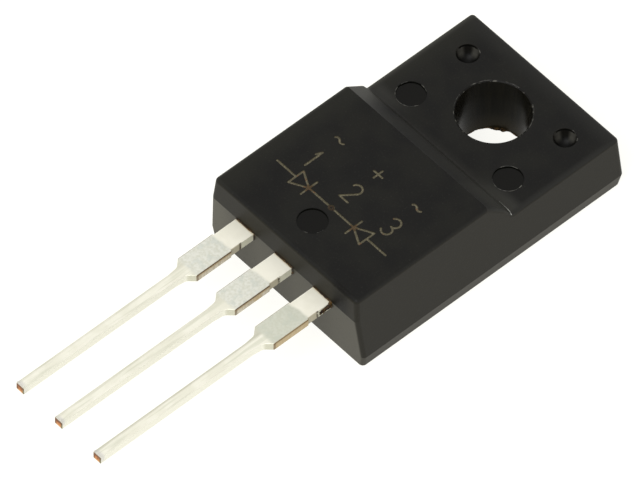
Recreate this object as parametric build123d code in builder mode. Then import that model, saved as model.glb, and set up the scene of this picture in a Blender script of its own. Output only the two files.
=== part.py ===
from build123d import *
import os

# Fully moulded three-lead rectifier: two diode dies on one copper header, which the middle
# lead is soldered to, and one anode lead each side, all inside one block of epoxy.
# Millimetres. The origin is on the screw hole's axis at the back face, which is Z = 0.
# X runs across the package, Y from the leads towards the screw tab, Z out of the front face.

# Moulded block: its widest outline is a low seam on the sides, and the walls lean in from it.
# The step down to the tab is a steep wall and then a gentler slope, which meet at a knee: the
# knee's share is how far up the step it lies, so that the slope stays the gentler one.
body_width = 10.12
body_length = 16.0
body_height = 4.60
tab_thickness = 3.15
tab_length = 6.65
hole_to_tab_end = 3.35
side_seam_height = 0.70
side_inset_back = 0.11
side_inset_top = 0.385
front_inset_back = 0.28
front_inset_top = 0.05
end_inset_back = 0.10
end_inset_top = 0.18
step_wall_run = 0.35
step_knee_share = 0.38
step_slope_run = 1.04
step_foot_radius = 0.30
edge_radius = 0.22

# Screw hole: a straight land at the back that opens into a tapered mouth
hole_radius = 1.59
hole_land = 1.50
hole_mouth_radius = 1.75
hole_lip = 0.05

# Marks the mould leaves: two pin pockets, two ejector discs on the tab and one on the body
pocket_x = 3.20
pocket_y = 1.38
pocket_radius = 0.55
pocket_ball_radius = 0.52
pocket_wall_depth = 0.20
ejector_radius = 0.71
ejector_depth = 0.06
tab_ejector_x = 3.20
tab_ejector_y = -2.08
body_ejector_depth = 1.69

# Leads, stamped from one copper strip
lead_pitch = 2.54
lead_thickness = 0.45
lead_back_height = 2.76
lead_length = 13.35
lead_width = 0.50
lead_edge_radius = 0.05
neck_width = 1.15
neck_length = 1.40
stub_width = 1.26
stub_length = 2.06
shoulder_width = 0.62
shoulder_run = 0.35
shoulder_blend = 0.60
shoulder_radius = 0.40

# Inner ends of the leads
pad_width = 2.60
pad_length = 1.60
pad_shift = 0.15
pad_front_skin = 0.55
lock_hole_radius = 0.30
ramp_width = 1.60
ramp_start_depth = 0.95
lead_foot_length = 0.75

# Header that carries the dies, with ears either side of the screw hole
header_width = 8.20
header_thickness = 1.20
header_back_skin = 0.65
header_front_depth = 2.75
header_ear_end = 2.30
header_hole_wall = 0.80
side_notch_radius = 0.50
side_notch_y = -4.10

# Dies, the solder under them and the bond wires
die_width = 3.00
die_length = 3.60
die_thickness = 0.28
die_x = 2.10
die_depth = 5.75
solder_margin = 0.10
solder_thickness = 0.05
wire_radius = 0.19
wire_spacing = 1.00
wire_squash = 0.05
wire_foot_length = 0.80
wire_rise_run = 0.60
wire_flat_run = 1.00
wire_top_height = 4.00
wire_bend_radius = 0.50

# Laser marks: pin numbers, their polarity and the circuit symbol
mark_depth = 0.03
mark_width = 0.12
number_row_depth = 3.55
polarity_row_depth = 5.10
glyph_height = 1.05
glyph_bowl_radius = 0.27
two_start_angle = 165
two_end_angle = -35
three_hook_angle = 60
symbol_depth = 2.81
symbol_half_length = 3.55
symbol_bar_x = 1.47
symbol_bar_half = 0.49
symbol_base_x = 2.33
symbol_base_half = 0.46
symbol_node_radius = 0.10

# Places worked out from the sizes above
half_width = body_width / 2
front_y = hole_to_tab_end - body_length
step_foot_y = hole_to_tab_end - tab_length
step_knee_y = step_foot_y - step_wall_run
step_top_y = step_knee_y - step_slope_run
step_knee_height = tab_thickness + step_knee_share * (body_height - tab_thickness)
lead_top_height = lead_back_height + lead_thickness
lead_tip_y = front_y - lead_length
neck_end_y = front_y - neck_length
stub_end_y = neck_end_y - stub_length
shoulder_end_y = stub_end_y - shoulder_run
narrow_start_y = shoulder_end_y - shoulder_blend
pad_front_y = front_y + pad_front_skin
pad_middle_y = pad_front_y + pad_length / 2
ramp_start_y = front_y + ramp_start_depth
header_front_y = front_y + header_front_depth
header_top_height = header_back_skin + header_thickness
solder_top_height = header_top_height + solder_thickness
lead_foot_start_y = header_front_y + solder_margin
lead_foot_end_y = lead_foot_start_y + lead_foot_length
die_top_height = solder_top_height + die_thickness
die_y = front_y + die_depth

os.makedirs("parts", exist_ok=True)


def lead_outline(inner_end_y):
    """Corners of a lead centred on X = 0, from its cut tip to its inner end."""
    right_side = [
        (lead_width / 2, lead_tip_y),
        (lead_width / 2, narrow_start_y),
        (shoulder_width / 2, shoulder_end_y),
        (stub_width / 2, stub_end_y),
        (stub_width / 2, neck_end_y),
        (neck_width / 2, neck_end_y),
        (neck_width / 2, inner_end_y),
    ]
    return right_side + [(-x, y) for x, y in reversed(right_side)]


def round_shoulders(lead_sketch):
    """The blends where a lead narrows below its shoulders."""
    inside = lead_sketch.vertices().group_by(Axis.Y)[2]
    fillet(inside, shoulder_radius)


def round_narrow_edges(lead):
    """The rolled long edges of the lead's narrow part."""
    outside = lead.edges().filter_by(Axis.Y).group_by(Axis.Y)[0]
    fillet(outside, lead_edge_radius)


# Anode leads: each ends inside the epoxy in a bonding pad with a hole that locks it
anode_leads = []
for number, side in enumerate((-1, 1), start=1):
    lead_x = side * lead_pitch
    with BuildPart() as anode_lead:
        with BuildSketch(Plane.XY.offset(lead_back_height)) as lead_face:
            with Locations((lead_x, 0)):
                Polygon(*lead_outline(pad_middle_y), align=None)
            round_shoulders(lead_face)
            with Locations((lead_x + side * pad_shift, pad_middle_y)):
                Rectangle(pad_width, pad_length)
            with Locations((lead_x, pad_front_y + lock_hole_radius)):
                Circle(lock_hole_radius, mode=Mode.SUBTRACT)
        extrude(amount=lead_thickness)
        round_narrow_edges(anode_lead)
    anode_lead.part.label = f"anode_lead_{number}"
    anode_leads.append(anode_lead.part)

# Cathode lead: the middle lead steps down a ramp to a flat foot on the header
with BuildPart() as cathode_lead:
    with BuildSketch(Plane.XY.offset(lead_back_height)) as lead_face:
        Polygon(*lead_outline(ramp_start_y), align=None)
        round_shoulders(lead_face)
    extrude(amount=lead_thickness)
    round_narrow_edges(cathode_lead)
    with BuildSketch(Plane.YZ):
        Polygon(
            (ramp_start_y, lead_back_height),
            (ramp_start_y, lead_top_height),
            (lead_foot_start_y, solder_top_height + lead_thickness),
            (lead_foot_end_y, solder_top_height + lead_thickness),
            (lead_foot_end_y, solder_top_height),
            (lead_foot_start_y, solder_top_height),
            align=None,
        )
    extrude(amount=ramp_width / 2, both=True)
cathode_lead.part.label = "cathode_lead"

# Header: the thick copper plate that spreads the heat, notched round the screw hole
with BuildPart() as header:
    with BuildSketch(Plane.XY.offset(header_back_skin)):
        header_length = header_ear_end - header_front_y
        with Locations((0, header_front_y + header_length / 2)):
            Rectangle(header_width, header_length)
        header_hole_radius = hole_mouth_radius + header_hole_wall
        Circle(header_hole_radius, mode=Mode.SUBTRACT)
        with Locations((0, header_ear_end / 2)):
            Rectangle(2 * header_hole_radius, header_ear_end, mode=Mode.SUBTRACT)
        with Locations((-header_width / 2, side_notch_y), (header_width / 2, side_notch_y)):
            Circle(side_notch_radius, mode=Mode.SUBTRACT)
    extrude(amount=header_thickness)
header.part.label = "header"

# Solder between the middle lead's foot and the header
with BuildPart() as lead_solder:
    with BuildSketch(Plane.XY.offset(header_top_height)):
        with Locations((0, lead_foot_start_y + lead_foot_length / 2)):
            Rectangle(ramp_width, lead_foot_length)
    extrude(amount=solder_thickness)
lead_solder.part.label = "lead_solder"

# Dies: a thin square chip each side of the middle, on its own layer of solder
dies, solders = [], []
for number, side in enumerate((-1, 1), start=1):
    with BuildPart() as solder:
        with BuildSketch(Plane.XY.offset(header_top_height)):
            with Locations((side * die_x, die_y)):
                Rectangle(die_width + 2 * solder_margin, die_length + 2 * solder_margin)
        extrude(amount=solder_thickness)
    solder.part.label = f"die_solder_{number}"
    solders.append(solder.part)
    with BuildPart() as die:
        with BuildSketch(Plane.XY.offset(solder_top_height)):
            with Locations((side * die_x, die_y)):
                Rectangle(die_width, die_length)
        extrude(amount=die_thickness)
    die.part.label = f"die_{number}"
    dies.append(die.part)

# Bond wires: two from each pad to its die, each foot pressed flat on what it is bonded to
wire_clear_height = wire_radius - wire_squash
pad_foot_height = lead_top_height + wire_clear_height
die_foot_height = die_top_height + wire_clear_height
pad_foot_start_y = pad_middle_y - wire_foot_length / 2
pad_foot_end_y = pad_foot_start_y + wire_foot_length
die_foot_start_y = die_y - wire_foot_length / 2
wire_places = [
    side * die_x + shift
    for side in (-1, 1)
    for shift in (-wire_spacing / 2, wire_spacing / 2)
]
bond_wires = []
for number, wire_x in enumerate(wire_places, start=1):
    with BuildPart() as bond_wire:
        with BuildLine() as wire_path:
            FilletPolyline(
                (wire_x, pad_foot_start_y, pad_foot_height),
                (wire_x, pad_foot_end_y, pad_foot_height),
                (wire_x, pad_foot_end_y + wire_rise_run, wire_top_height),
                (wire_x, pad_foot_end_y + wire_rise_run + wire_flat_run, wire_top_height),
                (wire_x, die_foot_start_y, die_foot_height),
                (wire_x, die_foot_start_y + wire_foot_length, die_foot_height),
                radius=wire_bend_radius,
            )
        with BuildSketch(Plane.XZ.offset(-pad_foot_start_y)):
            with Locations((wire_x, pad_foot_height)):
                Circle(wire_radius)
        sweep(path=wire_path.wire())
        for seat_height, seat_y in ((lead_top_height, pad_middle_y), (die_top_height, die_y)):
            with Locations((wire_x, seat_y, seat_height)):
                Box(
                    2 * wire_radius,
                    2 * wire_foot_length,
                    wire_radius,
                    align=(Align.CENTER, Align.CENTER, Align.MAX),
                    mode=Mode.SUBTRACT,
                )
    bond_wire.part.label = f"bond_wire_{number}"
    bond_wires.append(bond_wire.part)


def straight_strokes(*points):
    """Straight strokes with round ends, from each point to the next."""
    for start, end in zip(points, points[1:]):
        middle = (Vector(start) + Vector(end)) / 2
        SlotCenterPoint(middle, end, height=mark_width)


def round_stroke(middle_height, radius, start_angle, end_angle):
    """A stroke along part of a circle centred above the mark's base point."""
    plane = Plane(origin=(0, middle_height, 0))
    SlotArc(Edge.make_circle(radius, plane, start_angle, end_angle), height=mark_width)


# Laser marks, each drawn about the middle of its base line
glyph_middle = glyph_height / 2
small_bowl_radius = glyph_height / 4
bowl_height = glyph_height - glyph_bowl_radius
wave_reach = glyph_bowl_radius / 2
with BuildSketch() as number_one:
    straight_strokes((-glyph_bowl_radius / 2, bowl_height), (0, glyph_height), (0, 0))
with BuildSketch() as number_two:
    round_stroke(bowl_height, glyph_bowl_radius, two_end_angle, two_start_angle)
    straight_strokes(
        Vector(glyph_bowl_radius, 0).rotate(Axis.Z, two_end_angle) + Vector(0, bowl_height),
        (-glyph_bowl_radius, 0),
        (glyph_bowl_radius, 0),
    )
with BuildSketch() as number_three:
    round_stroke(3 * small_bowl_radius, small_bowl_radius, -90, 90 + three_hook_angle)
    round_stroke(small_bowl_radius, small_bowl_radius, -90 - three_hook_angle, 90)
with BuildSketch() as wave_sign:
    for side in (-1, 1):
        crest = (side * wave_reach, glyph_middle - side * wave_reach / 2)
        wave_half = Edge.make_three_point_arc(
            (0, glyph_middle), crest, (side * 2 * wave_reach, glyph_middle)
        )
        SlotArc(wave_half, height=mark_width)
with BuildSketch() as plus_sign:
    straight_strokes((-glyph_bowl_radius, glyph_middle), (glyph_bowl_radius, glyph_middle))
    straight_strokes(
        (0, glyph_middle - glyph_bowl_radius), (0, glyph_middle + glyph_bowl_radius)
    )

# Circuit symbol: two diodes that point at the shared cathode's node in the middle
with BuildSketch() as circuit_symbol:
    Circle(symbol_node_radius + mark_width / 2)
    Circle(symbol_node_radius - mark_width / 2, mode=Mode.SUBTRACT)
    for side in (-1, 1):
        bar_x, base_x = side * symbol_bar_x, side * symbol_base_x
        straight_strokes((side * (symbol_node_radius + mark_width / 2), 0), (bar_x, 0))
        straight_strokes((bar_x, -symbol_bar_half), (bar_x, symbol_bar_half))
        base_ends = [(base_x, symbol_base_half), (base_x, -symbol_base_half)]
        straight_strokes((bar_x, 0), *base_ends, (bar_x, 0))
        straight_strokes((base_x, 0), (side * symbol_half_length, 0))

# Body: the moulded block, then everything it is moulded round is taken out of it
with BuildPart() as body:
    with BuildSketch(Plane.YZ):
        Polygon(
            (front_y + front_inset_back, 0),
            (hole_to_tab_end - end_inset_back, 0),
            (hole_to_tab_end, side_seam_height),
            (hole_to_tab_end - end_inset_top, tab_thickness),
            (step_foot_y, tab_thickness),
            (step_knee_y, step_knee_height),
            (step_top_y, body_height),
            (front_y + front_inset_top, body_height),
            (front_y, lead_top_height),
            align=None,
        )
    extrude(amount=half_width, both=True)
    step_foot = (0, step_foot_y, tab_thickness)
    fillet(body.edges().filter_by(Axis.X).sort_by_distance(step_foot)[0], step_foot_radius)
    with BuildSketch(Plane.XZ):
        right_wall = [
            (half_width - side_inset_back, 0),
            (half_width, side_seam_height),
            (half_width - side_inset_top, body_height),
        ]
        Polygon(*right_wall, *[(-x, z) for x, z in reversed(right_wall)], align=None)
    extrude(amount=body_length, both=True, mode=Mode.INTERSECT)

    # Round every outer edge but the sharp ones at the seam and at the back
    outermost_last = body.faces().sort_by(Axis.X)
    wall_edges = outermost_last[1].edges() + outermost_last[-2].edges()
    above_seam = wall_edges.filter_by_position(
        Axis.Z, side_seam_height, body_height, inclusive=(False, True)
    )
    slanted = body.edges().filter_by(Plane.XY, reverse=True)
    low_corners = slanted.filter_by_position(Axis.Z, 0, side_seam_height)
    tab_top, body_top = body.faces().filter_by(Axis.Z).sort_by(Axis.Z)[1:]
    front_edge = body_top.edges().sort_by(Axis.Y)[0]
    tab_end_edge = tab_top.edges().sort_by(Axis.Y)[-1]
    fillet([*above_seam, *low_corners, front_edge, tab_end_edge], edge_radius)

    # Screw hole
    with BuildSketch(Plane.XZ):
        Polygon(
            (0, 0),
            (hole_radius, 0),
            (hole_radius, hole_land),
            (hole_mouth_radius, tab_thickness - hole_lip),
            (hole_mouth_radius + hole_lip, tab_thickness),
            (0, tab_thickness),
            align=None,
        )
    revolve(axis=Axis.Z, mode=Mode.SUBTRACT)

    # Pockets left by ball-ended pins in the mould
    ball_height = tab_thickness - pocket_wall_depth
    with Locations((-pocket_x, pocket_y, ball_height), (pocket_x, pocket_y, ball_height)):
        Cone(
            pocket_ball_radius,
            pocket_radius,
            pocket_wall_depth,
            align=(Align.CENTER, Align.CENTER, Align.MIN),
            mode=Mode.SUBTRACT,
        )
        Sphere(pocket_ball_radius, mode=Mode.SUBTRACT)

    # Ejector discs
    with BuildSketch(Plane.XY.offset(tab_thickness)):
        with Locations((-tab_ejector_x, tab_ejector_y), (tab_ejector_x, tab_ejector_y)):
            Circle(ejector_radius)
    extrude(amount=-ejector_depth, mode=Mode.SUBTRACT)
    with BuildSketch(Plane.XY.offset(body_height)):
        with Locations((0, front_y + body_ejector_depth)):
            Circle(ejector_radius)
    extrude(amount=-ejector_depth, mode=Mode.SUBTRACT)

    # Laser marks
    with BuildSketch(Plane.XY.offset(body_height)):
        numbers = (number_one, number_two, number_three)
        signs = (wave_sign, plus_sign, wave_sign)
        for column, (number_glyph, sign_glyph) in enumerate(zip(numbers, signs), start=-1):
            with Locations((column * lead_pitch, front_y + number_row_depth)):
                add(number_glyph.sketch)
            with Locations((column * lead_pitch, front_y + polarity_row_depth)):
                add(sign_glyph.sketch)
        with Locations((0, front_y + symbol_depth)):
            add(circuit_symbol.sketch)
    extrude(amount=-mark_depth, mode=Mode.SUBTRACT)

    moulded_in = [cathode_lead.part, *anode_leads, header.part, lead_solder.part]
    moulded_in += [*solders, *dies, *bond_wires]
    for piece in moulded_in:
        add(piece, mode=Mode.SUBTRACT)
body.part.label = "body"

for piece in (body.part, *moulded_in):
    export_step(piece, f"parts/{piece.label}.step")
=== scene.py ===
# %% [markdown]
# A fully moulded rectifier diode, dressed for its portrait
#
# The real part is a stamped strip of tinned copper with two diode chips on it, closed up in one block of
# black epoxy. The CAD model already holds every solid, so this lesson adds what CAD leaves out: the finish of
# each surface, the laser's dots, the resin that creeps out of the mould, and the light.

# %% Load the frame
import math
import random

import bmesh
import bpy
from mathutils import Matrix, Vector


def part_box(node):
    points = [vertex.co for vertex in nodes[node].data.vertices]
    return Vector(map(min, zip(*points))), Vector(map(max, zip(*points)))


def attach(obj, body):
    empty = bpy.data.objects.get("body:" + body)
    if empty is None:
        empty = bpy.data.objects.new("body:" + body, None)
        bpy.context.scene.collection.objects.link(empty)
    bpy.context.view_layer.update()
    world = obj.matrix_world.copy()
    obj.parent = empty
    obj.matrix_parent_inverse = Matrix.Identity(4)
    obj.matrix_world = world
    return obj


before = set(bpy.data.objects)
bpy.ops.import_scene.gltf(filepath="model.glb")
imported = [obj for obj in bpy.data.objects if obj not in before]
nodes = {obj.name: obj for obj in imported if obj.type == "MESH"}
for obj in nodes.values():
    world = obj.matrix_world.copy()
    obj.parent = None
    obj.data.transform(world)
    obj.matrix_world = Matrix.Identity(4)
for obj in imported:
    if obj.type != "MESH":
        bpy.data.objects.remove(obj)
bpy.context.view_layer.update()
MM = 0.001
print("CAD nodes:", ", ".join(sorted(nodes)))

# %% [markdown]
# Sizes that the dressing shares with the solids
#
# The finish has to change exactly where the solids change, such as at a lead's cut tip. These few places
# could be read off the meshes, but written down in millimetres they say what they are, and the boxes printed
# below show the solids' own sizes beside them.

# %% Shared sizes, in millimetres
LEAD_PITCH = 2.54
LEAD_BACK, LEAD_TOP = 2.76, 3.21
FRONT_Y, TIP_Y = -12.65, -26.00
NECK_HALF, STUB_HALF, TIP_HALF = 0.575, 0.63, 0.25
STUB_START_Y, STUB_END_Y = -14.05, -16.11
BODY_HALF_WIDTH, TAB_END_Y = 5.06, 3.35
BODY_TOP, TAB_TOP = 4.60, 3.15
STEP_TOP_Y, STEP_FOOT_Y = -4.69, -3.30
HOLE_RADIUS, HOLE_LAND, HOLE_MOUTH_RADIUS, HOLE_LIP = 1.59, 1.50, 1.75, 0.05
DISC_RADIUS, DISC_DEPTH = 0.71, 0.06
TAB_DISC_X, TAB_DISC_Y = 3.20, -2.08
BODY_DISC_Y = FRONT_Y + 1.69
POCKET_X, POCKET_Y, POCKET_RADIUS = 3.20, 1.38, 0.55
POCKET_WALL_DEPTH, POCKET_BALL_RADIUS = 0.20, 0.52
MARK_DEPTH = 0.03
low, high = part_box("cathode_lead")
print("middle lead from y", round(low.y / MM, 2), "its top at z", round(high.z / MM, 2))
low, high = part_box("body")
print("body from y", round(low.y / MM, 2), "to", round(high.y / MM, 2), "its top at z", round(high.z / MM, 2))

# %% [markdown]
# The camera
#
# The photograph was taken from far off with a long lens, so parallel edges of the part stay almost parallel.
# A camera could be placed by eye, but a small slip in the angle shows at once on such straight edges. This
# one was fitted to corners and edges of the part by least squares: 46 degrees round from the leads' side, 52
# degrees up, 0.7 metres away, rolled by a degree and a half.

# %% The camera
VIEW_AZIMUTH, VIEW_ELEVATION, VIEW_ROLL = 46.447, 52.354, 1.585
EYE = Vector((307.184, -302.519, 552.264)) * MM
FOCAL_MM, SENSOR_MM = 879.85, 36
NEAREST_M, FARTHEST_M = 0.01, 20


def new_object(name, data):
    """An object in the scene that holds this data."""
    made = bpy.data.objects.new(name, data)
    bpy.context.scene.collection.objects.link(made)
    return made


azimuth, elevation = math.radians(VIEW_AZIMUTH), math.radians(VIEW_ELEVATION)
level_part = math.cos(elevation)
forward = Vector((-math.sin(azimuth) * level_part, math.cos(azimuth) * level_part, -math.sin(elevation)))
level_right = forward.cross(Vector((0, 0, 1))).normalized()
right = Matrix.Rotation(math.radians(-VIEW_ROLL), 3, forward) @ level_right
up = right.cross(forward)
camera_data = bpy.data.cameras.new("portrait_camera")
camera_data.sensor_width, camera_data.lens = SENSOR_MM, FOCAL_MM
camera_data.clip_start, camera_data.clip_end = NEAREST_M, FARTHEST_M
camera = new_object("portrait_camera", camera_data)
camera.matrix_world = Matrix.Translation(EYE) @ Matrix((right, up, -forward)).transposed().to_4x4()
bpy.context.scene.camera = camera
print("camera looks along", [round(c, 3) for c in forward], "right is", [round(c, 3) for c in right])

# %% [markdown]
# Small helpers for materials
#
# Every colour below is the hex value that a colour picker would show, which is sRGB, while the shader wants
# linear light, so one function turns the one into the other. Every node is added by one function that takes
# its settings and the sockets that feed it, which keeps a material readable from top to bottom.


# %% Colour and node helpers
def colour(hex_value):
    """Linear RGBA of an sRGB hex colour."""
    parts = [int(hex_value[i : i + 2], 16) / 255 for i in (1, 3, 5)]
    linear = [c / 12.92 if c <= 0.04045 else ((c + 0.055) / 1.055) ** 2.4 for c in parts]
    return (*linear, 1.0)


def add_node(tree, kind, settings=None, links=None):
    """Adds a node. Settings name its options or unlinked inputs, and links name the sockets that feed it."""
    made = tree.nodes.new(kind)
    for key, value in (settings or {}).items():
        if isinstance(key, str) and hasattr(made, key):
            setattr(made, key, value)
        else:
            made.inputs[key].default_value = value
    for key, source in (links or {}).items():
        tree.links.new(source, made.inputs[key])
    return made


def new_material(name, **values):
    """An empty material whose shader is joined up. Values are uniform ones, such as rough=0.4."""
    material = bpy.data.materials.new(name)
    material.use_nodes = True
    tree = material.node_tree
    tree.nodes.clear()
    shader = add_node(tree, "ShaderNodeBsdfPrincipled")
    sockets = {"rough": "Roughness", "specular": "Specular IOR Level", "metallic": "Metallic", "ior": "IOR"}
    for key, value in values.items():
        shader.inputs[sockets[key]].default_value = value
    add_node(tree, "ShaderNodeOutputMaterial", links={"Surface": shader.outputs[0]})
    return material, tree, shader


def dress(node_name, material):
    """Puts a material on a CAD node, whose mesh stays as it is."""
    node = nodes[node_name]
    node.data.materials.clear()
    node.data.materials.append(material)


print("mid grey #808080 is", round(colour("#808080")[0], 3), "in linear light")

# %% [markdown]
# Masks by place
#
# Parts of one surface have different finishes: a mark's floor, an ejector pin's disc, a lead's sheared side.
# They could be separate objects or painted maps, but each is a simple region of space, so a few sums on the
# Object coordinates find it, and the mask stays with the part from every side.


# %% Sums and places
def place(tree):
    """The object coordinates in millimetres, whole and as X, Y and Z."""
    coordinates = add_node(tree, "ShaderNodeTexCoord").outputs["Object"]
    in_mm = {"operation": "SCALE", "Scale": 1 / MM}
    scaled = add_node(tree, "ShaderNodeVectorMath", in_mm, {0: coordinates}).outputs[0]
    return scaled, *add_node(tree, "ShaderNodeSeparateXYZ", links={0: scaled}).outputs


def calculate(tree, operation, first, second=0):
    """One sum on one or two values, each a socket or a number."""
    links, settings = {}, {"operation": operation}
    for index, value in enumerate((first, second)):
        (settings if isinstance(value, (int, float)) else links)[index] = value
    return add_node(tree, "ShaderNodeMath", settings, links).outputs[0]


def times(tree, first, *others):
    """Multiplies masks, which keeps only where they meet, or a mask and a share, which weakens it."""
    for other in others:
        first = calculate(tree, "MULTIPLY", first, other)
    return first


def outside(tree, mask):
    """1 where a mask is 0."""
    return calculate(tree, "SUBTRACT", 1, mask)


def wrap(tree, value, top, bottom):
    """Repeats a value between two ends, so that one pattern serves several places."""
    ends = {"operation": "WRAP", 1: top, 2: bottom}
    return add_node(tree, "ShaderNodeMath", ends, {0: value}).outputs[0]


print("one unit of a place is", MM, "m")

# %% Masks and patterns
def step_up(tree, value, none_at, all_at):
    """0 at one value, 1 at the other and beyond, smooth between."""
    edges = {"interpolation_type": "SMOOTHSTEP", "From Min": none_at, "From Max": all_at}
    return add_node(tree, "ShaderNodeMapRange", edges, {"Value": value}).outputs[0]


def band(tree, value, near_edge, far_edge):
    """1 between two soft edges, each given as where it is 0 and where it is 1."""
    return times(tree, step_up(tree, value, *near_edge), step_up(tree, value, *far_edge))


def disc_mask(tree, position, centre, radius, soft):
    """1 inside a disc round a point of the XY plane."""
    flat = add_node(tree, "ShaderNodeVectorMath", {"operation": "MULTIPLY", 1: (1, 1, 0)}, {0: position})
    to_centre = {"operation": "DISTANCE", 1: (*centre, 0)}
    away = add_node(tree, "ShaderNodeVectorMath", to_centre, {0: flat.outputs[0]}).outputs["Value"]
    return step_up(tree, away, radius + soft, radius)


def grain(tree, position, size_mm, detail=2.0, stretch=(1, 1, 1)):
    """Noise whose spots are about this many millimetres across."""
    stretched = add_node(tree, "ShaderNodeVectorMath", {"operation": "MULTIPLY", 1: stretch}, {0: position})
    size = {"Scale": 1 / size_mm, "Detail": detail}
    return add_node(tree, "ShaderNodeTexNoise", size, {"Vector": stretched.outputs[0]}).outputs[0]


# %% [markdown]
# Feeding the shader
#
# A mask blends one tone over another, or moves a number such as the roughness from one value to another. Fine
# relief is left to a bump, because its height is far below what a mesh could carry.


# %% Blends and relief
def blend(tree, mask, first, second):
    """Mixes two colours, each a socket or a hex value, by a mask."""
    links, settings = {"Factor": mask}, {"data_type": "RGBA"}
    for index, tone in ((6, first), (7, second)):
        if isinstance(tone, str):
            settings[index] = colour(tone)
        else:
            links[index] = tone
    return add_node(tree, "ShaderNodeMix", settings, links).outputs[2]


def between(tree, mask, at_none, at_all):
    """A number that goes from one value to another as a mask rises."""
    ends = {"To Min": at_none, "To Max": at_all}
    return add_node(tree, "ShaderNodeMapRange", ends, {"Value": mask}).outputs[0]


def relief(tree, shader, height, depth_mm, strength):
    """Lifts the surface a little where a pattern is high."""
    size = {"Strength": strength, "Distance": depth_mm * MM}
    bump = add_node(tree, "ShaderNodeBump", size, {"Height": height})
    tree.links.new(bump.outputs[0], shader.inputs["Normal"])


# %% [markdown]
# Epoxy moulding compound
#
# The body is epoxy filled with glass powder and carbon black, pressed in a spark-eroded mould, so it is a
# very dark warm grey with a fine even grain and a weak soft shine that grows towards grazing angles. An image
# could hold the grain, but noise on the Object coordinates has no seams and needs no file. Such a grain is
# 0.03 mm across, too fine for a 640 pixel picture, so it is drawn at 0.09 mm.

# %% Epoxy
GRAIN_MM = 0.09
epoxy, tree, shader = new_material("epoxy_moulding_compound", ior=1.5, specular=0.16)
position, x, y, z = place(tree)
across = calculate(tree, "ABSOLUTE", x)
facing = add_node(tree, "ShaderNodeNewGeometry").outputs["Normal"]
upness = add_node(tree, "ShaderNodeSeparateXYZ", links={0: facing}).outputs[2]
not_wall = step_up(tree, upness, 0.3, 0.7)
clouds = grain(tree, position, 1.6)
speckle = grain(tree, position, GRAIN_MM, 3.0)
dark = blend(tree, step_up(tree, clouds, 0.35, 0.65), "#0f0f0e", "#151512")
# Flat faces are painted lighter towards the left end: a painted highlight of light from that side.
left_lit_flats = blend(tree, step_up(tree, x, -3.0, -5.2), dark, "#20201b")
# Walls get a warmer, paler tone than the flat tops: painted light on the walls.
moulded = blend(tree, not_wall, "#1c1a13", left_lit_flats)
print("epoxy grain", GRAIN_MM, "mm")

# %% [markdown]
# Painted light on the step and the edges, and a smudge
#
# The step's left end is painted paler as a highlight. The tab along the foot of the step is painted lighter,
# most at its two ends, as a painted reflection of the slope and as painted light in the crease. The outer
# edges are painted a little paler as a sheen. One side of the front has a dark smudge where the block was
# handled. All of it is only a shade lighter or darker than the epoxy, so it is blended over it and not
# modelled.

# %% Painted light on the step
on_slope = band(tree, upness, (0.35, 0.5), (0.95, 0.85))
on_step = band(tree, y, (STEP_TOP_Y - 0.31, STEP_TOP_Y - 0.11), (STEP_FOOT_Y + 0.40, STEP_FOOT_Y + 0.20))
# The step's left end is painted paler: a painted highlight.
step_end = times(tree, step_up(tree, x, -2.8, -4.9), on_slope, on_step)
with_step_end_highlight = blend(tree, step_end, moulded, "#32322d")
at_foot = band(tree, y, (STEP_FOOT_Y - 0.20, STEP_FOOT_Y + 0.10), (STEP_FOOT_Y + 0.90, STEP_FOOT_Y + 0.30))
foot_ends = times(
    tree,
    at_foot,
    step_up(tree, across, 2.0, 4.2),
    step_up(tree, z, TAB_TOP + 0.5, TAB_TOP + 0.2),
    step_up(tree, upness, 0.3, 0.6),
)
# The tab is painted lighter along the step's foot towards both ends: a painted reflection of the slope.
step_painted_light = blend(tree, foot_ends, with_step_end_highlight, "#2a2a27")
crease = times(
    tree,
    band(tree, y, (STEP_TOP_Y - 0.01, STEP_TOP_Y + 0.89), (STEP_FOOT_Y + 0.50, STEP_FOOT_Y + 0.05)),
    step_up(tree, upness, 0.3, 0.5),
    step_up(tree, x, -2.8, -1.0),
)
more_on_right = calculate(tree, "ADD", times(tree, step_up(tree, x, 2.4, 3.2), 0.4), 0.3)
# The crease at the foot is painted lighter: painted light where the step's own shade falls.
step_painted_light = blend(tree, times(tree, crease, more_on_right), step_painted_light, "#2c2c27")
# The lighter foot of the step is painted light.
print("dust along the step's foot at y", STEP_FOOT_Y)

# %% Painted sheen on the edges, and a smudge
left_edge = step_up(tree, x, 0.66 - BODY_HALF_WIDTH, 0.34 - BODY_HALF_WIDTH)
right_edge = step_up(tree, x, BODY_HALF_WIDTH - 0.56, BODY_HALF_WIDTH - 0.28)
far_edge = step_up(tree, y, TAB_END_Y - 1.35, TAB_END_Y - 0.05)
edges = calculate(tree, "MAXIMUM", calculate(tree, "MAXIMUM", right_edge, left_edge), far_edge)
# Edges are painted paler, the left ones most: a painted sheen.
sheen_tone = blend(tree, left_edge, "#222220", "#33332e")
sheened = blend(tree, times(tree, edges, not_wall), step_painted_light, sheen_tone)
smudge = times(
    tree,
    band(tree, x, (2.9, 3.5), (4.4, 3.8)),
    step_up(tree, z, LEAD_TOP - 0.2, LEAD_TOP + 0.1),
    step_up(tree, y, FRONT_Y + 0.35, FRONT_Y + 0.15),
)
smudged = blend(tree, smudge, sheened, "#060503")
# The paler edges are a painted sheen.
print("worn edges at x", BODY_HALF_WIDTH, "and y", TAB_END_Y)

# %% [markdown]
# Painted reflection of the table under the seam
#
# The walls that lean back under the seam are painted paler, a painted reflection of the pale table below, and
# the corner at the front left is painted the palest. The grain's bright specks go over the walls on both
# sides of the seam.

# %% Under the seam
leans_back = step_up(tree, upness, -0.03, -0.08)
leans_further = step_up(tree, upness, -0.10, -0.15)
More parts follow.
